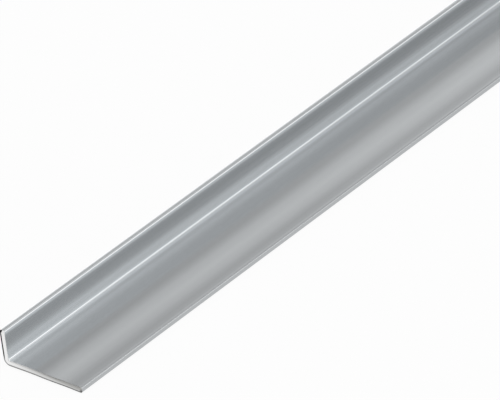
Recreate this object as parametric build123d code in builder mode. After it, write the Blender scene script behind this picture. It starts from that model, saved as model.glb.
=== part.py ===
"""Cold-formed metal angle with unequal legs: one length of stock, in one piece.

The bar runs along X. Its long leg lies flat on Z = 0, and its short leg stands up along the back, at +Y.
X = 0 is the middle of the length and Y = 0 is the middle of the long leg. Sizes are in millimetres.
"""
from build123d import *
import os

os.makedirs("parts", exist_ok=True)

# Driving sizes
long_leg = 25.0  # outside width of the leg that lies flat
short_leg = 10.0  # outside height of the leg that stands up
thickness = 1.5  # of the strip that the angle is formed from
length = 1000.0  # a length that such bars are sold in
inner_bend_radius = 0.3  # in the corner between the legs
outer_edge_radius = 0.4  # long edges, on the side that faces away from that corner
inner_edge_radius = 0.3  # long edges, on the side that faces it

# Sizes that follow from them
outer_bend_radius = inner_bend_radius + thickness  # the strip keeps its thickness round the bend
front = -long_leg / 2  # free edge of the long leg
back = long_leg / 2  # outer face of the short leg


def long_edges(section, side):
    """The section's corner at the free edge of each leg, on the outer or the inner side of the strip."""
    long_leg_low, long_leg_high = section.vertices().group_by(Axis.X)[0].sort_by(Axis.Y)
    short_leg_inner, short_leg_outer = section.vertices().group_by(Axis.Y)[-1].sort_by(Axis.X)
    if side == "outer":
        return [long_leg_low, short_leg_outer]
    return [long_leg_high, short_leg_inner]


with BuildPart() as angle_section:
    # In this sketch X is the bar's Y and Y is its Z.
    with BuildSketch(Plane.YZ) as strip:
        with BuildLine():
            # The outside of both legs, thickened inwards, so that the two arcs of the bend share one centre.
            FilletPolyline((front, 0), (back, 0), (back, short_leg), radius=outer_bend_radius)
            offset(amount=thickness, side=Side.LEFT)
        make_face()
        # Rolling leaves the long edges soft, and more so on the side away from the corner.
        fillet(long_edges(strip, "outer"), radius=outer_edge_radius)
        fillet(long_edges(strip, "inner"), radius=inner_edge_radius)
    # Both ends are sawn square.
    extrude(amount=length / 2, both=True)

angle_section.part.label = "angle_section"
export_step(angle_section.part, "parts/angle_section.step")
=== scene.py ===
import math

import bpy
import numpy as np
from mathutils import Matrix, Vector


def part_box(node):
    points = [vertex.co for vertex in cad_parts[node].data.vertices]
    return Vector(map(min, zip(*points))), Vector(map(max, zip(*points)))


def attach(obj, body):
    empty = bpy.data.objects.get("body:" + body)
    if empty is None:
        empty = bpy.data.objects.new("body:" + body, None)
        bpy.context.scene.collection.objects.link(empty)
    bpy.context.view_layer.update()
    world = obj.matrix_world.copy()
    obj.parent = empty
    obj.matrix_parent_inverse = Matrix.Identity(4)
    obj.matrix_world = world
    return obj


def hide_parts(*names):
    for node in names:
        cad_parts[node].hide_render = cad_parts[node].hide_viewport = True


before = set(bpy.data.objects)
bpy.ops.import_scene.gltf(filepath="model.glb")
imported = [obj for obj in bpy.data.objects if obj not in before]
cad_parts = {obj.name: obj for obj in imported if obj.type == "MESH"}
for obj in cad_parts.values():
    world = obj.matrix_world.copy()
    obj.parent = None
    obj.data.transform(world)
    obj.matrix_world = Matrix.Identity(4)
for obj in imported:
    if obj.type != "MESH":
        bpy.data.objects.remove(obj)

bl_info = {
    "name": "Metal angle section",
    "version": (1, 0, 0),
    "blender": (4, 5, 0),
    "location": "3D View > Sidebar > Angle section",
    "description": "A cold-formed, zinc-plated steel angle in a plain photo studio",
    "category": "Object",
}

NODE = "angle_section"
MM = 0.001  # the scene is in metres
LOW, HIGH = (np.array(corner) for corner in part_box(NODE))
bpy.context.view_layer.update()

# How finely the shape is drawn: points on each stretch of the strip's outline, rings along the bar.
EDGE_STEPS = 9  # round each long edge
BEND_STEPS = 25  # round the outside of the bend
CORNER_STEPS = 17  # round the corner between the legs
UNDERSIDE_STEPS, BACK_STEPS = 60, 24  # across the outer side of the long and the short leg
UPPER_STEPS, FACE_STEPS = 80, 40  # across the inner side of the long and the short leg
FORM_STEPS = 400  # across a leg, where its slopes are summed up to heights
FILED_STEPS = 5  # rings round the file's radius at each sawn end
STATIONS = 121  # rings along the rest of the bar
BESIDE_FILED = 0.1 * MM  # from the file's radius to the next ring
LEAST_RADIUS = 0.02 * MM  # of a long edge, where the outline is drawn in by more than its radius

# The legs aren't quite flat: forming leaves shallow rises and hollows that run along the bar and show as its
# light and dark bands. Each pair is a distance from the corner, in mm, and the slope of the face there, in
# degrees, positive where the face rises towards the leg's free edge.
LONG_LEG_FORM = (
    (0, 0.4), (1.5, 0.8), (4, 1.1), (7, 0.5), (10, -2),
    (13, 0), (16, 1.1), (18.5, 0.2), (21, -1.8), (23.5, 1.2),
)
SHORT_LEG_FORM = ((0, 2), (1.5, -2.5), (3, -0.6), (4.5, 0.9), (6.5, 2), (8.5, -2))

# The plating is painted duller or brighter along those bands: painted reflection of the studio across each
# leg, painted highlights beside the corner and the short leg's free edge, and a painted shade line by the long
# leg's free edge. Each pair is a distance from the corner, in mm, and how bright the plating is painted there.
LONG_LEG_PAINTED_BANDS = (
    (0, 0.92), (0.2, 1.18), (0.45, 1.45), (0.7, 1.25), (1, 1.06), (1.5, 1), (3, 1.02), (6, 0.9),
    (9.5, 0.91), (13, 1.01), (21, 0.97), (22.4, 0.9), (23, 0.98), (23.2, 1.02), (23.3, 0.95), (23.4, 0.7),
)
SHORT_LEG_PAINTED_BANDS = (
    (0, 0.92), (0.3, 1), (0.5, 1.2), (0.8, 1.28), (1, 1.25), (1.4, 1.16), (2.5, 1.2), (4, 0.96),
    (6, 0.91), (7.1, 0.96), (7.45, 1.12), (7.6, 1.31), (7.75, 1.37), (7.9, 1.2), (8, 1.04), (8.2, 0.92),
    (8.45, 0.95), (8.5, 1.14),
)

# How dark the painted shade line round the outer edge of each leg's cut is: 1 is fully dark.
LONG_LEG_EDGE_SHADE, SHORT_LEG_EDGE_SHADE = 0.9, 3

# How far painted shade greys the cut at its inner side, by the bend and at the long leg's tip: 1 is the full
# inner shade colour.
SHADE_AT_BEND, SHADE_AT_TIP = 0.1, 1.7

NOISE_LOW, NOISE_HIGH = 0.3, 0.7  # nearly all of a noise pattern lies between these
NOISE_ROUGHNESS = 0.6  # how strong its finer detail is
SHEEN_SPREAD = 0.04  # how much more or less rough the plating is along a rolling line
PATCH_STRETCH = 5  # the plating's patches are this much longer than they are wide
TOOTH_HEIGHT, TOOTH_REACH = 20, 10  # a tooth mark's height, and its depth into the bar, in spacings

# Soft boxes round the bar: azimuth from +X towards +Y, elevation, how far the box fades, all in degrees, and
# brightness.
SOFT_BOXES = {
    "behind, right": (30, 8, 15, 0.95),
    "behind, left": (60, 8, 15, 1.7),
    "front, low": (300, 8, 15, 2.2),
    "front, high": (300, 60, 15, 1.1),
    "far end": (0, 60, 15, 0.6),
    "overhead": (0, 90, 15, 1.8),
    "near end": (160, 5, 25, 0.7),
    "camera side": (190, 40, 40, 0.6),
}
SKY = 0.05  # brightness of the plain sky between them

FLOOR_GAP = 0.02 * MM  # the floor lies this much under the bar
CLIP_NEAR, CLIP_FAR = 10 * MM, 200.0  # the camera sees what lies between these


# Sizes and colours that a user would change


def linear(code):
    """An sRGB hex colour as linear red, green, blue and alpha."""
    srgb = np.array([int(code[i : i + 2], 16) for i in (0, 2, 4)]) / 255
    rgb = np.where(srgb <= 0.04045, srgb / 12.92, ((srgb + 0.055) / 1.055) ** 2.4)
    return (*rgb.tolist(), 1.0)


class AngleSizes(bpy.types.PropertyGroup):
    """The formed strip. Its length and the widths of its legs come from the frame."""

    thickness: bpy.props.FloatProperty(
        name="Thickness", description="Thickness of the strip",
        default=1.5 * MM, unit="LENGTH", precision=5,
    )
    bend: bpy.props.FloatProperty(
        name="Inner bend radius", description="The wall's thickness less than the radius outside the bend",
        default=0.3 * MM, unit="LENGTH", precision=5,
    )
    # A little softer than the part's own 0.3 mm, and so is the inner rim: the photo's bright lines are wide.
    corner: bpy.props.FloatProperty(
        name="Corner radius", description="Softness of the corner between the legs",
        default=0.4 * MM, unit="LENGTH", precision=5,
    )
    outer_edge: bpy.props.FloatProperty(
        name="Outer edge radius", description="Softness of the long edges, away from the corner",
        default=0.4 * MM, unit="LENGTH", precision=5,
    )
    inner_edge: bpy.props.FloatProperty(
        name="Inner edge radius", description="Softness of the long leg's edge, towards the corner",
        default=0.3 * MM, unit="LENGTH", precision=5,
    )
    rim_edge: bpy.props.FloatProperty(
        name="Inner rim radius", description="Softness of the short leg's edge, towards the corner",
        default=0.5 * MM, unit="LENGTH", precision=5,
    )
    deburr: bpy.props.FloatProperty(
        name="Deburred edge", description="Radius that the file leaves round the sawn ends",
        default=0.25 * MM, unit="LENGTH", precision=5,
    )
    # How far the painted shade line round the cut's outer edge fades inwards; the cut's flat face is drawn in
    # by this too
    edge_shade_width: bpy.props.FloatProperty(
        name="Filed line", description="How far the file's dark line fades inwards from that radius",
        default=0.4 * MM, unit="LENGTH", precision=5,
    )


class PlatingLook(bpy.types.PropertyGroup):
    """Zinc plating on cold-rolled steel."""

    colour: bpy.props.FloatVectorProperty(
        name="Colour", description="What the plating gives back",
        default=linear("D5D8DA"), size=4, subtype="COLOR",
    )
    dull_colour: bpy.props.FloatVectorProperty(
        name="Dull colour", description="Its duller patches",
        default=linear("D0D3D5"), size=4, subtype="COLOR",
    )
    roughness: bpy.props.FloatProperty(
        name="Roughness", description="Satin sheen of the plating",
        default=0.16, subtype="FACTOR", min=0, max=1,
    )
    line_spacing: bpy.props.FloatProperty(
        name="Line spacing", description="Distance between rolling lines, drawn wide enough to show",
        default=0.5 * MM, unit="LENGTH", precision=5,
    )
    line_length: bpy.props.FloatProperty(
        name="Line length", description="Length of a rolling line",
        default=90 * MM, unit="LENGTH",
    )
    line_depth: bpy.props.FloatProperty(
        name="Line depth", description="Depth of a rolling line",
        default=0.0005 * MM, unit="LENGTH", precision=6,
    )
    patch_size: bpy.props.FloatProperty(
        name="Patch size", description="Length of the duller patches",
        default=30 * MM, unit="LENGTH",
    )


class SawnLook(bpy.types.PropertyGroup):
    """Bare steel at the sawn ends."""

    colour: bpy.props.FloatVectorProperty(
        name="Colour", description="The cut at its outer side",
        default=linear("FAFAFA"), size=4, subtype="COLOR",
    )
    # The painted shade colour that the cut greys to at its inner side
    inner_shade_colour: bpy.props.FloatVectorProperty(
        name="Inner colour", description="The cut at its inner side, by the long leg's tip",
        default=linear("B4B4B2"), size=4, subtype="COLOR",
    )
    # The colour of the painted shade line round the cut's outer edge
    edge_shade_colour: bpy.props.FloatVectorProperty(
        name="Filed line", description="The cut's dark outer edge",
        default=linear("202020"), size=4, subtype="COLOR",
    )
    roughness: bpy.props.FloatProperty(
        name="Roughness", description="Dullness that the saw leaves",
        default=0.5, subtype="FACTOR", min=0, max=1,
    )
    tooth_spacing: bpy.props.FloatProperty(
        name="Tooth mark spacing", description="Distance between the saw's tooth marks",
        default=0.35 * MM, unit="LENGTH", precision=5,
    )
    tooth_depth: bpy.props.FloatProperty(
        name="Tooth mark depth", description="Depth of the saw's tooth marks",
        default=0.01 * MM, unit="LENGTH", precision=6,
    )


class StudioSettings(bpy.types.PropertyGroup):
    """Floor and camera."""

    floor_colour: bpy.props.FloatVectorProperty(
        name="Floor", description="The paper floor",
        default=linear("F8F8F8"), size=4, subtype="COLOR",
    )
    floor_glow: bpy.props.FloatProperty(
        name="Floor glow", description="How much of the floor's white is its own, seen and mirrored",
        default=0.9, subtype="FACTOR", min=0, max=1,
    )
    floor_reach: bpy.props.FloatProperty(
        name="Floor reach", description="From the middle of the bar to the floor's edge",
        default=40.0, unit="LENGTH",
    )
    azimuth: bpy.props.FloatProperty(
        name="Azimuth", description="Where the camera stands round the bar, from +X towards +Y",
        default=math.radians(-136.5), subtype="ANGLE",
    )
    elevation: bpy.props.FloatProperty(
        name="Elevation", description="How high the camera stands",
        default=math.radians(31.46), subtype="ANGLE",
    )
    roll: bpy.props.FloatProperty(
        name="Roll", description="How far the camera leans",
        default=math.radians(-7.4), subtype="ANGLE",
    )
    aim: bpy.props.FloatVectorProperty(
        name="Aim", description="From the near, front, low corner of the bar to the point looked at",
        default=(55.5 * MM, -10.5 * MM, 27.5 * MM), subtype="TRANSLATION",
    )
    distance: bpy.props.FloatProperty(
        name="Distance", description="From the camera to the point looked at",
        default=1.368, unit="LENGTH",
    )
    lens: bpy.props.FloatProperty(
        name="Lens", description="Focal length in millimetres on a 36 mm wide picture",
        default=408.0,
    )


# Shapes


def arc(centre, radius, start, end, steps):
    """Points centre + radius (cos a, sin a), a from start to end in degrees."""
    turn = np.radians(np.linspace(start, end, steps))
    return np.array(centre) + radius * np.stack([np.cos(turn), np.sin(turn)], axis=1)


def run(start, end, steps):
    """Points spread evenly between two ends, without the ends."""
    share = np.linspace(0, 1, steps + 2)[1:-1, None]
    return np.array(start) * (1 - share) + np.array(end) * share


def formed_height(form, distance):
    """How far a face stands out at a distance from the corner: tan(slope) summed from the corner outwards."""
    knots, slopes = np.array(form, float).T
    fine = np.linspace(0, knots[-1], FORM_STEPS)
    rise = np.tan(np.radians(np.interp(fine, knots, slopes)))
    height = np.concatenate([[0], np.cumsum((rise[1:] + rise[:-1]) / 2 * np.diff(fine))])
    return np.interp(np.clip(distance / MM, 0, None), fine, height) * MM


def strip_faces(sizes, inset=0.0):
    """The flat strip's outer side and inner side as (y, z) points, all drawn in by the inset.

    Seen from -X they go round anticlockwise. The outer side starts at the long leg's tip, and follows the
    underside, the bend and the back. The inner side comes back from the short leg's free edge, through the
    corner. Each arc's points are centre + radius (cos a, sin a).
    """
    wall, corner, turn = sizes.thickness, sizes.corner, sizes.bend + sizes.thickness
    front, back = LOW[1] + inset, HIGH[1] - inset
    bottom, top = LOW[2] + inset, HIGH[2] - inset
    upper, inner = LOW[2] + wall - inset, HIGH[1] - wall + inset  # the faces that look into the corner
    big, small, rim = (
        max(radius - inset, LEAST_RADIUS) for radius in (sizes.outer_edge, sizes.inner_edge, sizes.rim_edge)
    )
    bend_y, bend_z = HIGH[1] - turn, LOW[2] + turn
    corner_y, corner_z = HIGH[1] - wall - corner, LOW[2] + wall + corner
    outside = np.concatenate([
        arc((front + big, bottom + big), big, 180, 270, EDGE_STEPS),
        run((front + big, bottom), (bend_y, bottom), UNDERSIDE_STEPS),
        arc((bend_y, bend_z), turn - inset, 270, 360, BEND_STEPS),
        run((back, bend_z), (back, top - big), BACK_STEPS),
        arc((back - big, top - big), big, 0, 90, EDGE_STEPS),
    ])
    inside = np.concatenate([
        arc((inner + rim, top - rim), rim, 90, 180, EDGE_STEPS),
        run((inner, top - rim), (inner, corner_z), FACE_STEPS),
        arc((corner_y, corner_z), corner + inset, 0, -90, CORNER_STEPS),
        run((corner_y, upper), (front + small, upper), UPPER_STEPS),
        arc((front + small, upper - small), small, 90, 180, EDGE_STEPS),
    ])
    return outside, inside


def formed(points, wall, lowest):
    """The points, moved up by the long leg's form and forward by the short leg's, at least by the lowest."""
    y, z = points.T
    up = np.maximum(formed_height(LONG_LEG_FORM, HIGH[1] - wall - y), lowest)
    forward = np.maximum(formed_height(SHORT_LEG_FORM, z - wall), lowest)
    return np.stack([y - forward, z + up], axis=1)


def strip_outline(sizes, inset=0.0):
    """The closed outline of the formed strip. The forms never push its outer side out of the bar's own box."""
    outside, inside = strip_faces(sizes, inset)
    return np.concatenate([
        formed(outside, sizes.thickness, 0.0),
        formed(inside, sizes.thickness, -sizes.thickness),
    ])


def bar_rings(sizes):
    """The outline carried along X, as rings of points.

    At each end the first ring closes the cut, drawn in past the painted shade line round its outer edge. The
    next ones
    follow a quarter circle: x goes in from the end by r (1 - cos a), and the outline is drawn in by
    r (1 - sin a), a from 0 to 90 degrees. One more ring, just past them, keeps the shading of the long faces
    even up to the file's radius.
    """
    quarter = np.radians(np.linspace(0, 90, FILED_STEPS))
    end_x = np.concatenate([[0], sizes.deburr * (1 - np.cos(quarter))])
    inset = np.concatenate([[sizes.deburr + sizes.edge_shade_width], sizes.deburr * (1 - np.sin(quarter))])
    end_rings = np.stack([strip_outline(sizes, float(each)) for each in inset])
    middle = np.linspace(LOW[0] + sizes.deburr, HIGH[0] - sizes.deburr, STATIONS)
    middle[[0, -1]] += BESIDE_FILED, -BESIDE_FILED
    x = np.concatenate([LOW[0] + end_x, middle, (HIGH[0] - end_x)[::-1]])
    yz = np.concatenate([end_rings, np.repeat(end_rings[-1:], len(middle), axis=0), end_rings[::-1]])
    return np.concatenate([np.broadcast_to(x[:, None, None], yz.shape[:2] + (1,)), yz], axis=2)


def painted_band_brightness(outline, sizes):
    """How bright the plating is painted at each point of the outline: its leg's painted band of reflection,
    highlight and shade, that far from the corner.
    """
    y, z = outline.T
    along_long = (HIGH[1] - sizes.thickness - y) / MM
    along_short = (z - sizes.thickness) / MM
    long_leg = np.interp(along_long, *np.array(LONG_LEG_PAINTED_BANDS, float).T)
    short_leg = np.interp(along_short, *np.array(SHORT_LEG_PAINTED_BANDS, float).T)
    return np.where(along_long > along_short, long_leg, short_leg)


def painted_edge_darkness(sizes):
    """How dark the painted shade line makes the cut at each point of the outline: 0 on the inner side.

    On the outer side it goes from the long leg's darkness to the short leg's, up the back from the bend. It
    fades to 0 across the painted shade line and 1 is fully dark, so the line is wider where this is more than
    1.
    """
    outside, inside = strip_faces(sizes)
    bend = sizes.bend + sizes.thickness
    darkness = np.interp(outside[:, 1] - LOW[2], (bend, 2 * bend), (LONG_LEG_EDGE_SHADE, SHORT_LEG_EDGE_SHADE))
    return np.concatenate([darkness, np.zeros(len(inside))])


def closed_tube(name, rings):
    """A mesh of quads between neighbouring rings, closed by one flat face at each end, facing outwards."""
    count, around = rings.shape[:2]
    ring = np.arange(count - 1)[:, None] * around
    here = np.arange(around)[None]
    ahead = (here + 1) % around
    quads = np.stack([ring + here, ring + ahead, ring + ahead + around, ring + here + around], axis=2)
    near_end = np.arange(around)[::-1]
    far_end = np.arange(around) + (count - 1) * around
    mesh = bpy.data.meshes.new(name)
    mesh.from_pydata(
        rings.reshape(-1, 3), [], quads.reshape(-1, 4).tolist() + [near_end.tolist(), far_end.tolist()]
    )
    is_side = np.arange(len(mesh.polygons)) < quads.size // 4
    mesh.polygons.foreach_set("use_smooth", is_side)
    mesh.update()
    return mesh


def put_values(mesh, name, values):
    """An attribute with one number per point of the mesh."""
    mesh.attributes.new(name, "FLOAT", "POINT").data.foreach_set("value", values)


def put_in_scene(name, mesh):
    """An object at the origin, unturned and unscaled, that holds the mesh."""
    thing = bpy.data.objects.new(name, mesh)
    bpy.context.scene.collection.objects.link(thing)
    return thing


# Materials


def add(tree, kind, settings=None, links=None):
    """Adds a node.

    Settings are the node's own properties or its sockets' values, and links are its sockets' sources.
    """
    node = tree.nodes.new(kind)
    for key, value in (settings or {}).items():
        if isinstance(key, str) and hasattr(node, key):
            setattr(node, key, value)
        else:
            node.inputs[key].default_value = value
    for key, source in (links or {}).items():
        tree.links.new(source, node.inputs[key])
    return node


def new_material(name):
    """An empty node material and its tree."""
    material = bpy.data.materials.new(name)
    material.use_nodes = True
    material.node_tree.nodes.clear()
    return material, material.node_tree


def stretched_noise(tree, size, detail):
    """Noise whose blotches have a size in metres along X, Y and Z."""
    place = add(tree, "ShaderNodeTexCoord")
    stretch = add(
        tree, "ShaderNodeMapping",
        {"Scale": tuple(1 / length for length in size)},
        {"Vector": place.outputs["Object"]},
    )
    return add(
        tree, "ShaderNodeTexNoise", {"Scale": 1.0, "Detail": detail, "Roughness": NOISE_ROUGHNESS},
        {"Vector": stretch.outputs["Vector"]},
    ).outputs["Fac"]


def zinc_plated_steel(look):
    """Steel strip, cold-rolled, formed and zinc-plated: a cool satin grey that blurs what it mirrors.

    The rolls leave fine lines along the bar, and the zinc settles in slightly duller patches.
    """
    material, tree = new_material("zinc_plated_steel")
    lines = stretched_noise(tree, (look.line_length, look.line_spacing, look.line_spacing), detail=3)
    patch_width = look.patch_size / PATCH_STRETCH
    patches = stretched_noise(tree, (look.patch_size, patch_width, patch_width), detail=2)
    patchy = add(
        tree, "ShaderNodeMix",
        {"data_type": "RGBA", 6: tuple(look.colour), 7: tuple(look.dull_colour)},
        {0: patches},
    )
    # Painted reflection bands, highlights and shade lines along the legs, multiplied into the plating's colour
    painted_light_band = add(tree, "ShaderNodeAttribute", {"attribute_name": "painted_light_band"})
    colour = add(
        tree, "ShaderNodeVectorMath", {"operation": "MULTIPLY"},
        {0: patchy.outputs[2], 1: painted_light_band.outputs["Fac"]},
    )
    sheen = add(
        tree, "ShaderNodeMapRange",
        {
            "From Min": NOISE_LOW, "From Max": NOISE_HIGH,
            "To Min": look.roughness - SHEEN_SPREAD, "To Max": look.roughness + SHEEN_SPREAD,
        },
        {"Value": lines},
    )
    bump = add(tree, "ShaderNodeBump", {"Strength": 1.0, "Distance": look.line_depth}, {"Height": lines})
    shader = add(
        tree, "ShaderNodeBsdfPrincipled", {"Metallic": 1.0},
        {
            "Base Color": colour.outputs["Vector"],
            "Roughness": sheen.outputs["Result"],
            "Normal": bump.outputs["Normal"],
        },
    )
    add(tree, "ShaderNodeOutputMaterial", links={"Surface": shader.outputs["BSDF"]})
    return material


def sawn_steel(look, wall):
    """Bare mild steel as a fine saw leaves it: bright and dull-sheened, with close upright tooth marks.

    The cut is painted brightest along its outer side and greyer towards the inner side, the more so the
    nearer to the long leg's tip: a painted shade. A painted shade line darkens the cut's outer edge.
    """
    material, tree = new_material("sawn_steel")
    place = add(tree, "ShaderNodeTexCoord")
    across = add(tree, "ShaderNodeSeparateXYZ", links={"Vector": place.outputs["Object"]})
    from_back = add(tree, "ShaderNodeMath", {"operation": "SUBTRACT", 0: HIGH[1]}, {1: across.outputs["Y"]})
    from_outside = add(
        tree, "ShaderNodeMath", {"operation": "MINIMUM"},
        {0: from_back.outputs["Value"], 1: across.outputs["Z"]},
    )
    depth = add(tree, "ShaderNodeMapRange", {"From Max": wall}, {"Value": from_outside.outputs["Value"]})
    # Painted shade, stronger towards the long leg's tip
    shade_towards_tip = add(
        tree, "ShaderNodeMapRange",
        {"From Min": wall, "From Max": HIGH[1] - LOW[1], "To Min": SHADE_AT_BEND, "To Max": SHADE_AT_TIP},
        {"Value": from_back.outputs["Value"]},
    )
    painted_shade = add(
        tree, "ShaderNodeMath", {"operation": "MULTIPLY", "use_clamp": True},
        {0: depth.outputs["Result"], 1: shade_towards_tip.outputs["Result"]},
    )
    # Painted shade: the cut's colour greys from its outer side towards its inner side
    cut = add(
        tree, "ShaderNodeMix",
        {"data_type": "RGBA", 6: tuple(look.colour), 7: tuple(look.inner_shade_colour)},
        {0: painted_shade.outputs["Value"]},
    )
    # Painted shade line round the cut's outer edge
    painted_edge_shade = add(tree, "ShaderNodeAttribute", {"attribute_name": "painted_edge_shade"})
    shade_lined = add(
        tree, "ShaderNodeMix", {"data_type": "RGBA", 7: tuple(look.edge_shade_colour)},
        {0: painted_edge_shade.outputs["Fac"], 6: cut.outputs[2]},
    )
    spacing = look.tooth_spacing
    marks = stretched_noise(tree, (spacing * TOOTH_REACH, spacing, spacing * TOOTH_HEIGHT), detail=2)
    bump = add(tree, "ShaderNodeBump", {"Strength": 1.0, "Distance": look.tooth_depth}, {"Height": marks})
    shader = add(
        tree, "ShaderNodeBsdfPrincipled", {"Metallic": 1.0, "Roughness": look.roughness},
        {"Base Color": shade_lined.outputs[2], "Normal": bump.outputs["Normal"]},
    )
    add(tree, "ShaderNodeOutputMaterial", links={"Surface": shader.outputs["BSDF"]})
    return material


def floor_paper(settings):
    """White background paper, lit as everything is, with part of its white its own.

    The camera and the metal see that part alike; the rest still takes the bar's shadow.
    """
    material, tree = new_material("floor_paper")
    path = add(tree, "ShaderNodeLightPath")
    seen = add(
        tree, "ShaderNodeMath", {"operation": "MAXIMUM"},
        {0: path.outputs["Is Camera Ray"], 1: path.outputs["Is Glossy Ray"]},
    )
    seen_or_through = add(
        tree, "ShaderNodeMath", {"operation": "MAXIMUM"},
        {0: seen.outputs["Value"], 1: path.outputs["Is Transmission Ray"]},
    )
    share = add(
        tree, "ShaderNodeMath", {"operation": "MULTIPLY", 1: settings.floor_glow},
        {0: seen_or_through.outputs["Value"]},
    )
    paper = add(tree, "ShaderNodeBsdfDiffuse", {"Color": tuple(settings.floor_colour)})
    white = add(tree, "ShaderNodeEmission", {"Color": (1, 1, 1, 1), "Strength": 1.0})
    mixed = add(
        tree, "ShaderNodeMixShader",
        links={0: share.outputs["Value"], 1: paper.outputs["BSDF"], 2: white.outputs["Emission"]},
    )
    add(tree, "ShaderNodeOutputMaterial", links={"Surface": mixed.outputs["Shader"]})
    return material


# Studio


def direction(azimuth, elevation):
    """The unit vector at an azimuth, from +X towards +Y, and an elevation, in radians."""
    flat = math.cos(elevation)
    return (math.cos(azimuth) * flat, math.sin(azimuth) * flat, math.sin(elevation))


def soft_sky():
    """A plain sky with soft boxes.

    Each box adds its brightness times exp((cosine of the angle to it - 1) / reach^2), the reach in radians.
    """
    world = bpy.data.worlds.new("studio")
    world.use_nodes = True
    tree = world.node_tree
    tree.nodes.clear()
    place = add(tree, "ShaderNodeTexCoord")
    total = add(tree, "ShaderNodeValue").outputs["Value"]
    total.default_value = SKY
    for azimuth, elevation, reach, brightness in SOFT_BOXES.values():
        sharpness = 1 / math.radians(reach) ** 2
        cosine = add(
            tree, "ShaderNodeVectorMath",
            {"operation": "DOT_PRODUCT", 1: direction(math.radians(azimuth), math.radians(elevation))},
            {0: place.outputs["Generated"]},
        )
        fade = add(
            tree, "ShaderNodeMath", {"operation": "MULTIPLY_ADD", 1: sharpness, 2: -sharpness},
            {0: cosine.outputs["Value"]},
        )
        glow = add(tree, "ShaderNodeMath", {"operation": "EXPONENT"}, {0: fade.outputs["Value"]})
        total = add(
            tree, "ShaderNodeMath", {"operation": "MULTIPLY_ADD", 1: brightness},
            {0: glow.outputs["Value"], 2: total},
        ).outputs["Value"]
    sky = add(tree, "ShaderNodeBackground", {"Color": (1, 1, 1, 1)}, {"Strength": total})
    add(tree, "ShaderNodeOutputWorld", links={"Surface": sky.outputs["Background"]})
    return world


def photo_camera(settings):
    """A camera at a distance from the point it looks at, leaning by the roll."""
    back = Vector(direction(settings.azimuth, settings.elevation))
    aim = Vector(LOW) + Vector(settings.aim)
    turn = (-back).to_track_quat("-Z", "Y").to_matrix().to_4x4()
    lean = Matrix.Rotation(settings.roll, 4, "Z")
    data = bpy.data.cameras.new("camera")
    data.lens = settings.lens
    data.clip_start, data.clip_end = CLIP_NEAR, CLIP_FAR
    camera = bpy.data.objects.new("camera", data)
    camera.matrix_world = Matrix.Translation(aim + back * settings.distance) @ turn @ lean
    return camera


# Operators and panel


class OBJECT_OT_angle_bar(bpy.types.Operator):
    """Makes the bar from its formed section"""

    bl_idname = "object.angle_bar"
    bl_label = "Angle bar"

    def execute(self, context):
        sizes = context.scene.angle_sizes
        outline = strip_outline(sizes)
        rings = bar_rings(sizes)
        mesh = closed_tube("angle_bar", rings)
        # Painted shade line on the rings round the file's radius, at both ends
        painted_edge_shade = np.zeros(rings.shape[:2])
        painted_edge_shade[1 : FILED_STEPS + 1] = painted_edge_shade[-FILED_STEPS - 1 : -1] = painted_edge_darkness(sizes)
        # Painted reflection bands, highlights and shade lines, the same on every ring
        put_values(mesh, "painted_light_band", np.tile(painted_band_brightness(outline, sizes), len(rings)))
        put_values(mesh, "painted_edge_shade", painted_edge_shade.reshape(-1))
        mesh.materials.append(zinc_plated_steel(context.scene.plating_look))
        mesh.materials.append(sawn_steel(context.scene.sawn_look, sizes.thickness))
        centres = np.empty(len(mesh.polygons) * 3)
        mesh.polygons.foreach_get("center", centres)
        x = centres[::3]
        at_end = np.minimum(x - LOW[0], HIGH[0] - x) < sizes.deburr
        mesh.polygons.foreach_set("material_index", at_end.astype(np.int32))
        bar = put_in_scene("angle_bar", mesh)
        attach(bar, "root")
        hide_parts(NODE)
        return {"FINISHED"}


class OBJECT_OT_photo_studio(bpy.types.Operator):
    """Puts in the floor, the light and the camera"""

    bl_idname = "object.photo_studio"
    bl_label = "Photo studio"

    def execute(self, context):
        settings = context.scene.photo_studio
        reach, level = settings.floor_reach, LOW[2] - FLOOR_GAP
        corners = [
            (-reach, -reach, level), (reach, -reach, level), (reach, reach, level), (-reach, reach, level),
        ]
        mesh = bpy.data.meshes.new("floor")
        mesh.from_pydata(corners, [], [(0, 1, 2, 3)])
        mesh.materials.append(floor_paper(settings))
        put_in_scene("floor", mesh)
        context.scene.world = soft_sky()
        camera = photo_camera(settings)
        context.scene.collection.objects.link(camera)
        context.scene.camera = camera
        context.scene.view_settings.view_transform = "Standard"
        return {"FINISHED"}


class VIEW3D_PT_angle_section(bpy.types.Panel):
    """Sizes, finish and studio of the angle section"""

    bl_label = "Angle section"
    bl_space_type = "VIEW_3D"
    bl_region_type = "UI"
    bl_category = "Angle section"

    def draw(self, context):
        for group, owner in GROUPS.items():
            box = self.layout.box()
            box.label(text=owner.__doc__)
            for name in owner.__annotations__:
                box.prop(getattr(context.scene, group), name)
        self.layout.operator("object.angle_bar")
        self.layout.operator("object.photo_studio")


GROUPS = {
    "angle_sizes": AngleSizes,
    "plating_look": PlatingLook,
    "sawn_look": SawnLook,
    "photo_studio": StudioSettings,
}
CLASSES = (*GROUPS.values(), OBJECT_OT_angle_bar, OBJECT_OT_photo_studio, VIEW3D_PT_angle_section)


def register():
    for each in CLASSES:
        bpy.utils.register_class(each)
    for name, group in GROUPS.items():
        setattr(bpy.types.Scene, name, bpy.props.PointerProperty(type=group))


def unregister():
    for name in GROUPS:
        delattr(bpy.types.Scene, name)
    for each in reversed(CLASSES):
        bpy.utils.unregister_class(each)


def main():
    register()
    bpy.ops.object.angle_bar()
    bpy.ops.object.photo_studio()


if __name__ == "__main__":
    main()
